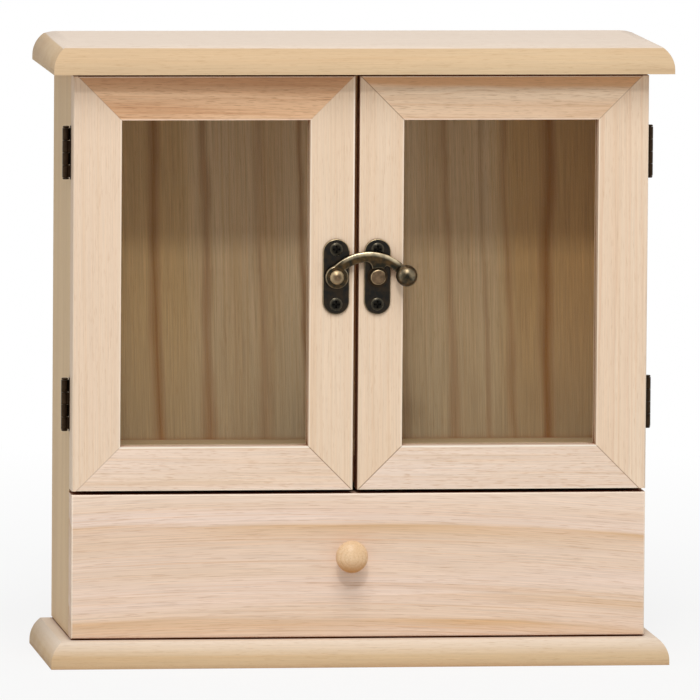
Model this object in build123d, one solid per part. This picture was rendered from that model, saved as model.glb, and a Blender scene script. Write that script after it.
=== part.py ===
from build123d import *
import os
from math import asin, cos, hypot, radians, sin

# Tabletop display cabinet in unfinished wood: two glazed doors over one drawer, closed by a swing latch.
# Millimetres. X runs to the right, Y to the back and Z up. The doors and the drawer face -Y.
# The origin is the centre of the bottom board's underside.

# Top and bottom boards, with a moulded edge along the front and both ends
board_width = 280.0
board_depth = 100.0
side_overhang = 10.0
front_overhang = 11.5
bottom_board_thickness = 11.8
top_board_thickness = 12.8
edge_flat_height = 2.0  # upright face at the foot of the moulding
edge_setback = 5.0  # how far the moulding leans in, up to its arris
crown_rise = 1.0  # soft shoulder from the arris up to the flat of the top board
crown_width = 6.0

# Carcass
panel_thickness = 10.0
divider_thickness = 12.0
divider_drop = 5.5  # from the upper edge of the doors' bottom rails down to the top of the divider
back_thickness = 4.0
back_rebate = 5.0  # width of the step in each side panel that takes the back
panel_foot_chamfer = 0.7

# Fronts: heights and the gaps round them
door_thickness = 12.0
door_height = 186.6
drawer_front_thickness = 12.0
drawer_front_height = 65.0
drawer_foot_gap = 0.6
fronts_gap = 1.65
door_head_gap = 1.35
seam_gap = 0.4  # between the back of a closed front and the carcass
meeting_gap = 2.1
meeting_offset = -2.0  # the doors meet a little left of the middle
front_edge_round = 0.8

# Door frames
rail_width = 19.8
left_hinge_stile_width = 21.7
left_lock_stile_width = 20.2
right_lock_stile_width = 20.0
right_hinge_stile_width = 22.7
lip_depth = 6.8  # wood in front of the glass
glass_thickness = 2.0
glass_rebate = 5.0
glass_play = 0.4
bead_play = 0.2

# Drawer box
drawer_side_thickness = 8.0
drawer_side_height = 50.0
drawer_back_thickness = 8.0
drawer_bottom_thickness = 3.0
drawer_bottom_lift = 4.0  # from the lower edge of the sides to the groove
drawer_groove_depth = 4.0
drawer_side_play = 0.7
drawer_floor_play = 0.3
drawer_rear_play = 2.5

# Turned knob
knob_offset = -4.2
knob_lift = 37.3  # above the drawer front's lower edge
knob_radius = 7.3
knob_length = 13.4
knob_neck_radius = 3.5
knob_foot_radius = 4.4
knob_screw_radius = 1.6
knob_screw_head_radius = 3.4
knob_screw_head_height = 2.2
knob_screw_bite = 8.0

# Butt hinges, folded into the seam with the barrel outside
hinge_height = 24.0
hinge_head_drop = 35.1  # door's top edge to the middle of the upper hinge
hinge_foot_rise = 38.1  # door's lower edge to the middle of the lower hinge
knuckle_count = 4
knuckle_gap = 0.2
barrel_radius = 1.6
barrel_offset = 2.2  # from the cabinet's side face out to the hinge pin
pin_radius = 0.75
pin_play = 0.05
pin_head_height = 0.8
pin_head_radius = 1.45
leaf_thickness = 1.0
leaf_reach = 7.6  # width of leaf let into the wood
leaf_gap = 0.4
leaf_swing_play = 0.25
hinge_screw_spread = 13.0
hinge_screw_radius = 0.9
hinge_screw_head_radius = 1.8
hinge_screw_length = 8.0

# Swing latch: one plate on each door, an arm on the left plate and a post on the right
latch_drop = 90.3  # door's top edge to the middle of the plates
latch_inset = 8.3  # door's meeting edge to the middle of its plate
latch_plate_width = 12.0
latch_plate_height = 34.0
latch_plate_thickness = 1.2
latch_plate_round = 0.5
latch_screw_spread = 24.8
latch_screw_head_radius = 2.9
latch_screw_dome = 0.6
latch_screw_radius = 1.2
latch_screw_length = 9.0
arm_thickness = 2.4
arm_stand_off = 1.05  # plate to arm
arm_play = 0.12
arm_round = 0.7
arm_boss_radius = 5.2
arm_collar_radius = 4.2
arm_inner_radius = 18.4
arm_outer_radius = 23.0
arm_centre_right = 14.6  # centre of the arch, from the pivot
arm_centre_down = 11.5
arm_ball_angle = 36.6  # degrees round the arch's centre
arm_ball_radius = 4.85
arm_ball_stand_off = 6.3  # door face to the middle of the ball
tooth_width = 5.4
tooth_flare = 1.4
tooth_hollow = 0.4
tooth_play = 0.1  # from the tooth's tips to the top of the post
tooth_long_fillet = 2.5  # root on the pivot's side
tooth_short_fillet = 1.0  # root on the ball's side
rivet_stem_radius = 1.5
rivet_play = 0.05
rivet_dome_radius = 3.2
rivet_dome_height = 1.6
rivet_tail_radius = 2.4
rivet_tail_height = 0.7
post_radius = 3.55
post_height = 3.3  # above its plate
post_round = 0.8
post_flange_radius = 4.6
post_flange_height = 0.5

# Dowels, screws and nails
dowel_radius = 2.5
dowel_length = 16.0
dowel_edge_distance = 14.0
divider_dowel_length = 14.0
divider_dowel_bite = 6.0  # depth in the side panel
drawer_dowel_radius = 1.5
drawer_dowel_length = 12.0
drawer_dowel_bite = 6.0
drawer_dowel_edge = 12.0
base_screw_radius = 1.6
base_screw_head_radius = 3.4
base_screw_length = 32.0
nail_radius = 0.6
nail_head_radius = 1.3
nail_head_height = 0.4
nail_length = 14.0
side_nail_count = 4
divider_nail_count = 3
nail_end_margin = 22.0
hole_play = 0.03

# Heights
drawer_foot_z = bottom_board_thickness + drawer_foot_gap
drawer_head_z = drawer_foot_z + drawer_front_height
door_foot_z = drawer_head_z + fronts_gap
door_head_z = door_foot_z + door_height
top_board_z = door_head_z + door_head_gap
divider_top_z = door_foot_z + rail_width - divider_drop
divider_mid_z = divider_top_z - divider_thickness / 2

# Depths
board_front_y = -board_depth / 2
back_y = board_depth / 2
door_face_y = board_front_y + front_overhang
door_rear_y = door_face_y + door_thickness
carcass_front_y = door_rear_y + seam_gap
drawer_rear_y = carcass_front_y - seam_gap
drawer_face_y = drawer_rear_y - drawer_front_thickness
back_front_y = back_y - back_thickness
hinge_y = carcass_front_y - seam_gap / 2

# Widths
side_x = board_width / 2 - side_overhang
inner_x = side_x - panel_thickness
hinge_x = side_x + barrel_offset


def block(x0, x1, y0, y1, z0, z1):
    """A box between two corners."""
    box = Box(abs(x1 - x0), abs(y1 - y0), abs(z1 - z0))
    return Pos((x0 + x1) / 2, (y0 + y1) / 2, (z0 + z1) / 2) * box


def rod(start, direction, radius, length):
    """A cylinder from a start point along a direction."""
    plane = Plane(origin=start, z_dir=direction)
    return plane * Cylinder(radius, length, align=(Align.CENTER, Align.CENTER, Align.MIN))


def cone(start, direction, start_radius, end_radius, length):
    """A cone from a start point along a direction."""
    plane = Plane(origin=start, z_dir=direction)
    return plane * Cone(start_radius, end_radius, length, align=(Align.CENTER, Align.CENTER, Align.MIN))


def along(start, direction, distance):
    """The point a distance away from start along a direction."""
    return tuple(s + d * distance for s, d in zip(start, direction))


def backwards(direction):
    return tuple(-d for d in direction)


def edges_on(shape, **planes):
    """Edges that lie wholly in each named plane, such as y=0."""
    found = ShapeList()
    for edge in shape.edges():
        box = edge.bounding_box()
        low = {"x": box.min.X, "y": box.min.Y, "z": box.min.Z}
        high = {"x": box.max.X, "y": box.max.Y, "z": box.max.Z}
        if all(abs(low[a] - v) < 1e-3 and abs(high[a] - v) < 1e-3 for a, v in planes.items()):
            found.append(edge)
    return found


def group(solids):
    """Separate solids kept apart in one compound."""
    return Compound(children=[solid for piece in solids for solid in piece.solids()])


# ---- moulded boards


def edge_lines(sign, width, thickness, rise):
    """One moulded end of a board's section, from its foot to the flat on top, and that last point."""
    end = sign * width / 2
    foot = (end, edge_flat_height)
    arris = (end - sign * edge_setback, thickness - rise)
    lines = [Line((end, 0), foot), TangentArc(foot, arris, tangent=(0, 1))]
    if rise == 0:
        return lines, arris
    crown = (arris[0] - sign * crown_width, thickness)
    lines.append(TangentArc(crown, arris, tangent=(sign, 0)))
    return lines, crown


def board_section(width, thickness, rise, both_ends):
    """Outline of a board across its width, moulded at one end or at both."""
    lines, left_top = edge_lines(-1, width, thickness, rise)
    right_top = (width / 2, thickness)
    if both_ends:
        right_lines, right_top = edge_lines(1, width, thickness, rise)
        lines += right_lines
    else:
        lines.append(Line((width / 2, 0), right_top))
    lines += [Line(left_top, right_top), Line((-width / 2, 0), (width / 2, 0))]
    return make_face(lines)


def moulded_board(thickness, rise, foot_z):
    """A board whose moulding is mitred round its front corners and cut square at the back."""
    across = Plane.XZ * board_section(board_width, thickness, rise, True)
    deep = Plane.YZ * board_section(board_depth, thickness, rise, False)
    wide = extrude(across, board_depth / 2, both=True)
    long = extrude(deep, board_width / 2, both=True)
    return Pos(0, 0, foot_z) * (wide & long)


# ---- fasteners


def cross_recess(start, direction, span, width, depth):
    """The cross-shaped socket in a screw head, cut in from its face."""
    plane = Plane(origin=start, z_dir=direction)
    arms = Box(span, width, 2 * depth) + Box(width, span, 2 * depth)
    return plane * arms


def flat_screw(start, direction, head_radius, shank_radius, length):
    """A countersunk screw whose flat head starts at start."""
    sink = head_radius - shank_radius
    point = 2 * shank_radius
    shape = cone(start, direction, head_radius, shank_radius, sink)
    shape += rod(along(start, direction, sink), direction, shank_radius, length - sink - point)
    shape += cone(along(start, direction, length - point), direction, shank_radius, shank_radius / 4, point)
    return shape - cross_recess(start, direction, 1.25 * head_radius, 0.3 * head_radius, 0.6 * sink)


def flat_screw_hole(start, direction, head_radius, shank_radius, length):
    """The countersunk hole that a flat screw fills."""
    wide = head_radius + hole_play
    slim = shank_radius + hole_play
    back = along(start, direction, -1)
    shape = rod(back, direction, slim, length + 1 + hole_play)
    shape += rod(back, direction, wide, 1)
    return shape + cone(start, direction, wide, slim, wide - slim)


def nail(start, direction):
    """A brad with its head let in flush."""
    shape = rod(start, direction, nail_head_radius, nail_head_height)
    return shape + rod(start, direction, nail_radius, nail_length)


def nail_hole(start, direction):
    shape = rod(start, direction, nail_head_radius + hole_play, nail_head_height)
    return shape + rod(start, direction, nail_radius + hole_play, nail_length + hole_play)


# ---- carcass


def board_dowel_places():
    ys = (carcass_front_y + dowel_edge_distance, back_front_y - dowel_edge_distance)
    return [(sign * (side_x - panel_thickness / 2), y) for sign in (-1, 1) for y in ys]


def top_dowels(play=0.0):
    foot = top_board_z - dowel_length / 2 - play
    return [
        rod((x, y, foot), (0, 0, 1), dowel_radius + play, dowel_length + 2 * play)
        for x, y in board_dowel_places()
    ]


def base_screws(make):
    return [
        make((x, y, 0), (0, 0, 1), base_screw_head_radius, base_screw_radius, base_screw_length)
        for x, y in board_dowel_places()
    ]


def divider_dowels(play=0.0):
    ys = (carcass_front_y + dowel_edge_distance, back_front_y - dowel_edge_distance)
    return [
        rod(
            (sign * (inner_x + divider_dowel_bite + play), y, divider_mid_z),
            (-sign, 0, 0),
            dowel_radius + play,
            divider_dowel_length + 2 * play,
        )
        for sign in (-1, 1)
        for y in ys
    ]


def back_nails(make):
    """Brads through the back into the side panels and into the divider."""
    nail_x = side_x - panel_thickness + back_rebate / 2
    low = bottom_board_thickness + nail_end_margin
    step = (top_board_z - nail_end_margin - low) / (side_nail_count - 1)
    places = [(sign * nail_x, low + step * i) for sign in (-1, 1) for i in range(side_nail_count)]
    spread = 2 * inner_x / (divider_nail_count + 1)
    places += [(spread * (i + 1) - inner_x, divider_mid_z) for i in range(divider_nail_count)]
    return [make((x, back_y, z), (0, -1, 0)) for x, z in places]


def side_panel(sign):
    panel = block(
        sign * side_x, sign * inner_x, carcass_front_y, back_y, bottom_board_thickness, top_board_z
    )
    panel = chamfer(edges_on(panel, x=sign * side_x, z=bottom_board_thickness), panel_foot_chamfer)
    step_x = inner_x + back_rebate
    panel -= block(sign * inner_x, sign * step_x, back_front_y, back_y, 0, top_board_z)
    panel -= top_dowels(hole_play)
    panel -= base_screws(flat_screw_hole)
    panel -= divider_dowels(hole_play)
    panel -= back_nails(nail_hole)
    for mid_z in hinge_heights():
        panel -= leaf_pocket(sign, mid_z, 1)
        panel -= hinge_screws(sign, mid_z, 1, flat_screw_hole)
    return panel


def divider():
    shelf = block(
        -inner_x,
        inner_x,
        carcass_front_y,
        back_front_y,
        divider_mid_z - divider_thickness / 2,
        divider_mid_z + divider_thickness / 2,
    )
    shelf -= divider_dowels(hole_play)
    return shelf - back_nails(nail_hole)


def back_panel():
    edge_x = inner_x + back_rebate
    panel = block(-edge_x, edge_x, back_front_y, back_y, bottom_board_thickness, top_board_z)
    return panel - back_nails(nail_hole)


# ---- hinges


def hinge_heights():
    return (door_head_z - hinge_head_drop, door_foot_z + hinge_foot_rise)


def leaf_faces(way):
    """Y of a leaf's two faces, the one in the seam first. way is 1 for the carcass and -1 for the door."""
    inner = hinge_y + way * leaf_gap / 2
    return inner, inner + way * leaf_thickness


def leaf_pocket(sign, mid_z, way):
    """The shallow pocket that lets a leaf into the wood."""
    inner, outer = leaf_faces(way)
    half = hinge_height / 2 + hole_play
    deep = outer + way * hole_play
    reach = side_x - leaf_reach - hole_play
    return block(sign * (side_x + 1), sign * reach, inner - way, deep, mid_z - half, mid_z + half)


def knuckle_spans(mid_z):
    """Lower and upper end of each knuckle, from the bottom up."""
    foot = mid_z - hinge_height / 2 + pin_head_height + knuckle_gap
    head = mid_z + hinge_height / 2 - pin_head_height - knuckle_gap
    pitch = (head - foot + knuckle_gap) / knuckle_count
    return [(foot + pitch * i, foot + pitch * (i + 1) - knuckle_gap) for i in range(knuckle_count)]


def hinge_leaf(sign, mid_z, way):
    """A leaf with its knuckles. Knuckles alternate: the carcass leaf has the highest one."""
    inner, outer = leaf_faces(way)
    half = hinge_height / 2
    clear_x = hinge_x - barrel_radius - leaf_swing_play
    leaf = block(sign * clear_x, sign * (side_x - leaf_reach), inner, outer, mid_z - half, mid_z + half)
    own = 1 if way == 1 else 0
    for i, (low, high) in enumerate(knuckle_spans(mid_z)):
        if i % 2 == own:
            leaf += block(sign * hinge_x, sign * clear_x, inner, outer, low, high)
            leaf += rod((sign * hinge_x, hinge_y, low), (0, 0, 1), barrel_radius, high - low)
    leaf -= rod((sign * hinge_x, hinge_y, mid_z - half), (0, 0, 1), pin_radius + pin_play, hinge_height)
    return leaf - hinge_screws(sign, mid_z, way, flat_screw_hole)


def hinge_pin(sign, mid_z):
    foot = (sign * hinge_x, hinge_y, mid_z - hinge_height / 2)
    pin = rod(foot, (0, 0, 1), pin_radius, hinge_height)
    for z in (0, hinge_height - pin_head_height):
        head = rod(along(foot, (0, 0, 1), z), (0, 0, 1), pin_head_radius, pin_head_height)
        tip = foot[2] if z == 0 else foot[2] + hinge_height
        pin += fillet(edges_on(head, z=tip), pin_head_height / 2)
    return pin


def hinge_screws(sign, mid_z, way, make):
    """Two screws that go from the seam through a leaf into the wood."""
    inner, outer = leaf_faces(way)
    x = sign * (side_x - leaf_reach / 2)
    return [
        make(
            (x, inner, mid_z + up * hinge_screw_spread / 2),
            (0, way, 0),
            hinge_screw_head_radius,
            hinge_screw_radius,
            hinge_screw_length,
        )
        for up in (-1, 1)
    ]


# ---- doors


class DoorLayout:
    """Edges of one door. sign is -1 for the left door and 1 for the right."""

    def __init__(self, sign, hinge_stile_width, lock_stile_width):
        self.sign = sign
        self.outer = sign * side_x
        self.lock = meeting_offset + sign * meeting_gap / 2
        self.open_hinge = self.outer - sign * hinge_stile_width
        self.open_lock = self.lock + sign * lock_stile_width
        self.open_foot = door_foot_z + rail_width
        self.open_head = door_head_z - rail_width
        self.plate_x = self.lock + sign * latch_inset


left_door = DoorLayout(-1, left_hinge_stile_width, left_lock_stile_width)
right_door = DoorLayout(1, right_hinge_stile_width, right_lock_stile_width)
latch_z = door_head_z - latch_drop
pivot_point = (left_door.plate_x, door_face_y, latch_z)
post_point = (right_door.plate_x, door_face_y, latch_z)


def door_slab(points):
    """A flat outline in X and Z, as thick as a door."""
    outline = Plane.XZ * make_face(Polyline(*points, close=True))
    return Pos(0, door_rear_y, 0) * extrude(outline, door_thickness)


def rail_slab(door, end_z, open_z):
    """A rail whose ends are cut at 45 degrees from the opening's corners."""
    way = 1 if end_z > open_z else -1
    run = rail_width * door.sign
    return door_slab(
        [
            (door.open_hinge, open_z),
            (door.open_lock, open_z),
            (door.open_lock - run, open_z + way * rail_width),
            (door.open_hinge + run, open_z + way * rail_width),
        ]
    )


def stile_slab(door, edge_x, open_x):
    slab = block(edge_x, open_x, door_face_y, door_rear_y, door_foot_z, door_head_z)
    slab -= rail_slab(door, door_head_z, door.open_head)
    return slab - rail_slab(door, door_foot_z, door.open_foot)


def glazing_space(door):
    """The rebate behind the lip, right through to the back of the frame."""
    return block(
        door.open_hinge + door.sign * glass_rebate,
        door.open_lock - door.sign * glass_rebate,
        door_face_y + lip_depth,
        door_rear_y + 1,
        door.open_foot - glass_rebate,
        door.open_head + glass_rebate,
    )


def eased(shape, **planes):
    """The member with the front edges in the named planes rounded over."""
    return fillet(edges_on(shape, y=door_face_y, **planes), front_edge_round)


def door_top_rail(door):
    rail = eased(rail_slab(door, door_head_z, door.open_head), z=door_head_z)
    return rail - glazing_space(door)


def door_bottom_rail(door):
    rail = eased(rail_slab(door, door_foot_z, door.open_foot), z=door_foot_z)
    return rail - glazing_space(door)


def hinge_stile(door):
    stile = eased(stile_slab(door, door.outer, door.open_hinge), x=door.outer)
    stile -= glazing_space(door)
    for mid_z in hinge_heights():
        stile -= leaf_pocket(door.sign, mid_z, -1)
        stile -= hinge_screws(door.sign, mid_z, -1, flat_screw_hole)
    return stile


def lock_stile(door):
    stile = eased(stile_slab(door, door.lock, door.open_lock), x=door.lock)
    stile -= glazing_space(door)
    stile -= plate_screws(door, dome_screw_hole)
    return stile - stud_hole((door.plate_x, door_face_y, latch_z))


def door_glass(door):
    reach = glass_rebate - glass_play
    return block(
        door.open_hinge + door.sign * reach,
        door.open_lock - door.sign * reach,
        door_face_y + lip_depth,
        door_face_y + lip_depth + glass_thickness,
        door.open_foot - reach,
        door.open_head + reach,
    )


def glazing_beads(door):
    """Four strips that hold the glass in its rebate."""
    front_y = door_face_y + lip_depth + glass_thickness
    reach = glass_rebate
    end_x = door.open_hinge + door.sign * reach
    far_x = door.open_lock - door.sign * reach
    low, high = door.open_foot - reach, door.open_head + reach
    inset = reach + bead_play
    beads = [
        block(end_x, far_x, front_y, door_rear_y, low, low + reach),
        block(end_x, far_x, front_y, door_rear_y, high - reach, high),
    ]
    for x, step in ((end_x, -door.sign * reach), (far_x, door.sign * reach)):
        beads.append(block(x, x + step, front_y, door_rear_y, low + inset, high - inset))
    return beads


# ---- latch


def dome_screw(start, direction):
    """A raised countersunk screw. start is on the plate's face, under the dome."""
    sink = latch_screw_head_radius - latch_screw_radius
    point = 2 * latch_screw_radius
    top = along(start, direction, -latch_screw_dome)
    screw = cone(start, direction, latch_screw_head_radius, latch_screw_radius, sink)
    screw += cap(start, backwards(direction), latch_screw_head_radius, latch_screw_dome)
    straight = latch_screw_length - sink - point
    screw += rod(along(start, direction, sink), direction, latch_screw_radius, straight)
    tip = along(start, direction, latch_screw_length - point)
    screw += cone(tip, direction, latch_screw_radius, latch_screw_radius / 4, point)
    span = 1.2 * latch_screw_head_radius
    return screw - cross_recess(top, direction, span, 0.3 * latch_screw_head_radius, 2 * latch_screw_dome)


def dome_screw_hole(start, direction):
    return flat_screw_hole(
        start, direction, latch_screw_head_radius, latch_screw_radius, latch_screw_length
    )


def turned(start, direction, lines):
    """A turned shape. Its outline is given as (radius, distance from start along direction)."""
    solid = revolve(Plane.XZ * make_face(lines), Axis.Z)
    return Plane(origin=start, z_dir=direction) * solid


def dome_lines(base, radius, height):
    """A dome from its rim to the axis, then down the axis to the base."""
    ball_radius = (radius**2 + height**2) / (2 * height)
    half_turn = asin(radius / ball_radius) / 2
    middle = (ball_radius * sin(half_turn), base + height - ball_radius * (1 - cos(half_turn)))
    return [ThreePointArc((radius, base), middle, (0, base + height)), Line((0, base + height), (0, 0))]


def cap(start, direction, radius, height):
    """A shallow dome that stands out from start along a direction."""
    return turned(start, direction, [Line((0, 0), (radius, 0))] + dome_lines(0, radius, height))


def plate_screws(door, make):
    face_y = door_face_y - latch_plate_thickness
    return [
        make((door.plate_x, face_y, latch_z + up * latch_screw_spread / 2), (0, 1, 0)) for up in (-1, 1)
    ]


def latch_plate(door):
    """A plate with round ends and a softened rim."""
    outline = SlotOverall(latch_plate_height, latch_plate_width, rotation=90)
    face = Plane.XZ * outline
    plate = Pos(door.plate_x, door_face_y, latch_z) * extrude(face, latch_plate_thickness)
    plate = fillet(edges_on(plate, y=door_face_y - latch_plate_thickness), latch_plate_round)
    plate -= plate_screws(door, dome_screw_hole)
    centre = (door.plate_x, door_face_y - latch_plate_thickness, latch_z)
    return plate - rod(centre, (0, 1, 0), rivet_stem_radius + hole_play, latch_plate_thickness)


def stud_hole(centre):
    """Room in the stile for a stud's riveted tail."""
    return rod(centre, (0, 1, 0), rivet_tail_radius + 4 * hole_play, rivet_tail_height + 4 * hole_play)


def stud_tail(centre, front_y):
    """A stem through the plate from front_y, spread behind it."""
    stem_length = centre[1] - front_y
    tail = rod((centre[0], front_y, centre[2]), (0, 1, 0), rivet_stem_radius, stem_length)
    return tail + rod(centre, (0, 1, 0), rivet_tail_radius, rivet_tail_height)


def pivot_rivet():
    front_y = door_face_y - latch_plate_thickness - arm_stand_off - arm_thickness - arm_play
    under_dome = (pivot_point[0], front_y, pivot_point[2])
    dome = cap(under_dome, (0, -1, 0), rivet_dome_radius, rivet_dome_height)
    return stud_tail(pivot_point, front_y) + dome


def catch_post():
    plate_y = door_face_y - latch_plate_thickness
    foot = (post_point[0], plate_y, post_point[2])
    post = rod(foot, (0, -1, 0), post_radius, post_height)
    post = fillet(edges_on(post, y=plate_y - post_height), post_round)
    post += rod(foot, (0, -1, 0), post_flange_radius, post_flange_height)
    return post + stud_tail(post_point, plate_y)


def arch_point(radius, angle):
    """A point round the arch's centre, from the pivot."""
    turn = radians(angle)
    return (arm_centre_right + radius * cos(turn), radius * sin(turn) - arm_centre_down)


def arm_outline():
    """The arm seen from the front, with the pivot at the origin and the post to its right."""
    boss_angle = Vector(-arm_centre_right, arm_centre_down).get_angle(Vector(1, 0))
    middle = (boss_angle + arm_ball_angle) / 2
    ends = (arm_ball_angle, middle, boss_angle)
    outer = [arch_point(arm_outer_radius, a) for a in ends]
    inner = [arch_point(arm_inner_radius, a) for a in ends]
    band = make_face(
        Curve() + [ThreePointArc(*outer), ThreePointArc(*inner), Line(outer[0], inner[0]), Line(outer[2], inner[2])]
    )
    post_x = post_point[0] - pivot_point[0]
    outline = band + tooth_outline(post_x) + Circle(arm_boss_radius)
    for side, radius in ((-1, tooth_long_fillet), (1, tooth_short_fillet)):
        root = [v for v in outline.vertices() if on_inner_arch(v) and 0 < side * (v.X - post_x) < tooth_width]
        outline = fillet(root, radius)
    return outline


def on_inner_arch(vertex):
    """Whether an outline's vertex lies on the inner side of the arch."""
    from_centre = hypot(vertex.X - arm_centre_right, vertex.Y + arm_centre_down)
    return abs(from_centre - arm_inner_radius) < 1e-3


def tooth_outline(post_x):
    """The tooth under the arch. Its hollow end rests just over the post."""
    half = tooth_width / 2
    tip = post_radius + tooth_play
    head = arm_inner_radius - arm_centre_down + 1
    ends = ((post_x - half, tip), (post_x + half, tip))
    heads = ((post_x - half - tooth_flare, head), (post_x + half + tooth_flare, head))
    hollow = ThreePointArc(ends[0], (post_x, tip + tooth_hollow), ends[1])
    return make_face([hollow, Line(ends[0], heads[0]), Line(ends[1], heads[1]), Line(*heads)])


def latch_arm():
    """The arched arm: a boss on the rivet, a tooth that rests over the post, and a ball to lift it by."""
    rear_y = door_face_y - latch_plate_thickness - arm_stand_off
    arm = Plane.XZ * extrude(arm_outline(), arm_thickness)
    arm = Pos(pivot_point[0], rear_y, pivot_point[2]) * arm
    arm = fillet(edges_on(arm, y=rear_y - arm_thickness), arm_round)
    collar_y = door_face_y - latch_plate_thickness - arm_play
    collar = rod((pivot_point[0], collar_y, latch_z), (0, -1, 0), arm_collar_radius, arm_stand_off)
    right, up = arch_point((arm_inner_radius + arm_outer_radius) / 2, arm_ball_angle)
    ball = Sphere(arm_ball_radius)
    arm += Pos(pivot_point[0] + right, door_face_y - arm_ball_stand_off, latch_z + up) * ball
    arm += collar
    bore_length = arm_thickness + 2 * arm_stand_off
    return arm - rod(pivot_point, (0, -1, 0), rivet_stem_radius + rivet_play, bore_length + latch_plate_thickness)


# ---- drawer


drawer_side_x = inner_x - drawer_side_play
drawer_box_z = bottom_board_thickness + drawer_floor_play
drawer_box_y = back_front_y - drawer_rear_play
drawer_floor_z = drawer_box_z + drawer_bottom_lift
knob_point = (knob_offset, drawer_face_y, drawer_foot_z + knob_lift)


def drawer_floor(play=0.0):
    """The bottom, or with play the grooves that take it."""
    reach = drawer_side_x - drawer_side_thickness + drawer_groove_depth
    return block(
        -reach - play,
        reach + play,
        drawer_rear_y - drawer_groove_depth - play,
        drawer_box_y,
        drawer_floor_z - play,
        drawer_floor_z + drawer_bottom_thickness + play,
    )


def drawer_dowels(play=0.0):
    """Dowels from the front and from the back board into the sides."""
    mid_x = drawer_side_x - drawer_side_thickness / 2
    low = drawer_floor_z + drawer_bottom_thickness + drawer_dowel_edge
    high = drawer_box_z + drawer_side_height - drawer_dowel_edge
    reach = drawer_dowel_length + 2 * play
    pegs = []
    for sign in (-1, 1):
        for z in (low, high):
            front = (sign * mid_x, drawer_rear_y - drawer_dowel_bite - play, z)
            pegs.append(rod(front, (0, 1, 0), drawer_dowel_radius + play, reach))
            rear_x = sign * (drawer_side_x - drawer_side_thickness + drawer_dowel_bite + play)
            rear = (rear_x, drawer_box_y - drawer_back_thickness / 2, z)
            pegs.append(rod(rear, (-sign, 0, 0), drawer_dowel_radius + play, reach))
    return pegs


def drawer_front():
    front = block(-side_x, side_x, drawer_face_y, drawer_rear_y, drawer_foot_z, drawer_head_z)
    front = fillet(front.faces().sort_by(Axis.Y)[0].edges(), front_edge_round)
    front -= drawer_floor(hole_play)
    front -= drawer_dowels(hole_play)
    recess = (knob_point[0], drawer_rear_y, knob_point[2])
    front -= rod(recess, (0, -1, 0), knob_screw_head_radius + 5 * hole_play, knob_screw_head_height + 0.5)
    return front - rod(recess, (0, -1, 0), knob_screw_radius + hole_play, drawer_front_thickness)


def drawer_side(sign):
    side = block(
        sign * drawer_side_x,
        sign * (drawer_side_x - drawer_side_thickness),
        drawer_rear_y,
        drawer_box_y,
        drawer_box_z,
        drawer_box_z + drawer_side_height,
    )
    side -= drawer_floor(hole_play)
    return side - drawer_dowels(hole_play)


def drawer_back():
    reach = drawer_side_x - drawer_side_thickness
    board = block(
        -reach,
        reach,
        drawer_box_y - drawer_back_thickness,
        drawer_box_y,
        drawer_floor_z + drawer_bottom_thickness + hole_play,
        drawer_box_z + drawer_side_height,
    )
    return board - drawer_dowels(hole_play)


def knob_screw():
    head_y = drawer_rear_y - 0.5
    start = (knob_point[0], head_y, knob_point[2])
    screw = rod(start, (0, -1, 0), knob_screw_head_radius, knob_screw_head_height)
    screw = fillet(edges_on(screw, y=head_y), knob_screw_head_height / 3)
    length = head_y - drawer_face_y + knob_screw_bite
    screw += rod(start, (0, -1, 0), knob_screw_radius, length)
    return screw - cross_recess(start, (0, 1, 0), 1.2 * knob_screw_head_radius, 0.9, 1.2)


def drawer_knob():
    """A turned knob: a small foot, a waist and a mushroom head with a domed face."""
    foot = (knob_foot_radius, 0)
    waist = (knob_neck_radius, 0.2 * knob_length)
    throat = (1.3 * knob_neck_radius, 0.38 * knob_length)
    under = (0.95 * knob_radius, 0.52 * knob_length)
    rim = (knob_radius, 0.64 * knob_length)
    shoulder = (0.9 * knob_radius, 0.78 * knob_length)
    lines = [
        Line((0, 0), foot),
        ThreePointArc(foot, waist, throat),
        Line(throat, under),
        ThreePointArc(under, rim, shoulder),
    ]
    lines += dome_lines(shoulder[1], shoulder[0], knob_length - shoulder[1])
    screw_hole = rod(knob_point, (0, -1, 0), knob_screw_radius + hole_play, knob_screw_bite + hole_play)
    return turned(knob_point, (0, -1, 0), lines) - screw_hole


# ---- assembly


def carcass_nodes():
    bottom_board = moulded_board(bottom_board_thickness, 0, 0)
    top_board = moulded_board(top_board_thickness, crown_rise, top_board_z)
    nodes = {
        "bottom_board": bottom_board - base_screws(flat_screw_hole),
        "top_board": top_board - top_dowels(hole_play),
        "left_side_panel": side_panel(-1),
        "right_side_panel": side_panel(1),
        "divider_shelf": divider(),
        "back_panel": back_panel(),
        "top_board_dowels": group(top_dowels()),
        "divider_dowels": group(divider_dowels()),
        "bottom_board_screws": group(base_screws(flat_screw)),
        "back_panel_nails": group(back_nails(nail)),
    }
    frame_screws = []
    for sign, side in ((-1, "left"), (1, "right")):
        for mid_z, level in zip(hinge_heights(), ("upper", "lower")):
            nodes[f"{side}_{level}_hinge_case_leaf"] = hinge_leaf(sign, mid_z, 1)
            nodes[f"{side}_{level}_hinge_pin"] = hinge_pin(sign, mid_z)
            frame_screws += hinge_screws(sign, mid_z, 1, flat_screw)
    nodes["case_hinge_screws"] = group(frame_screws)
    return nodes


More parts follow.
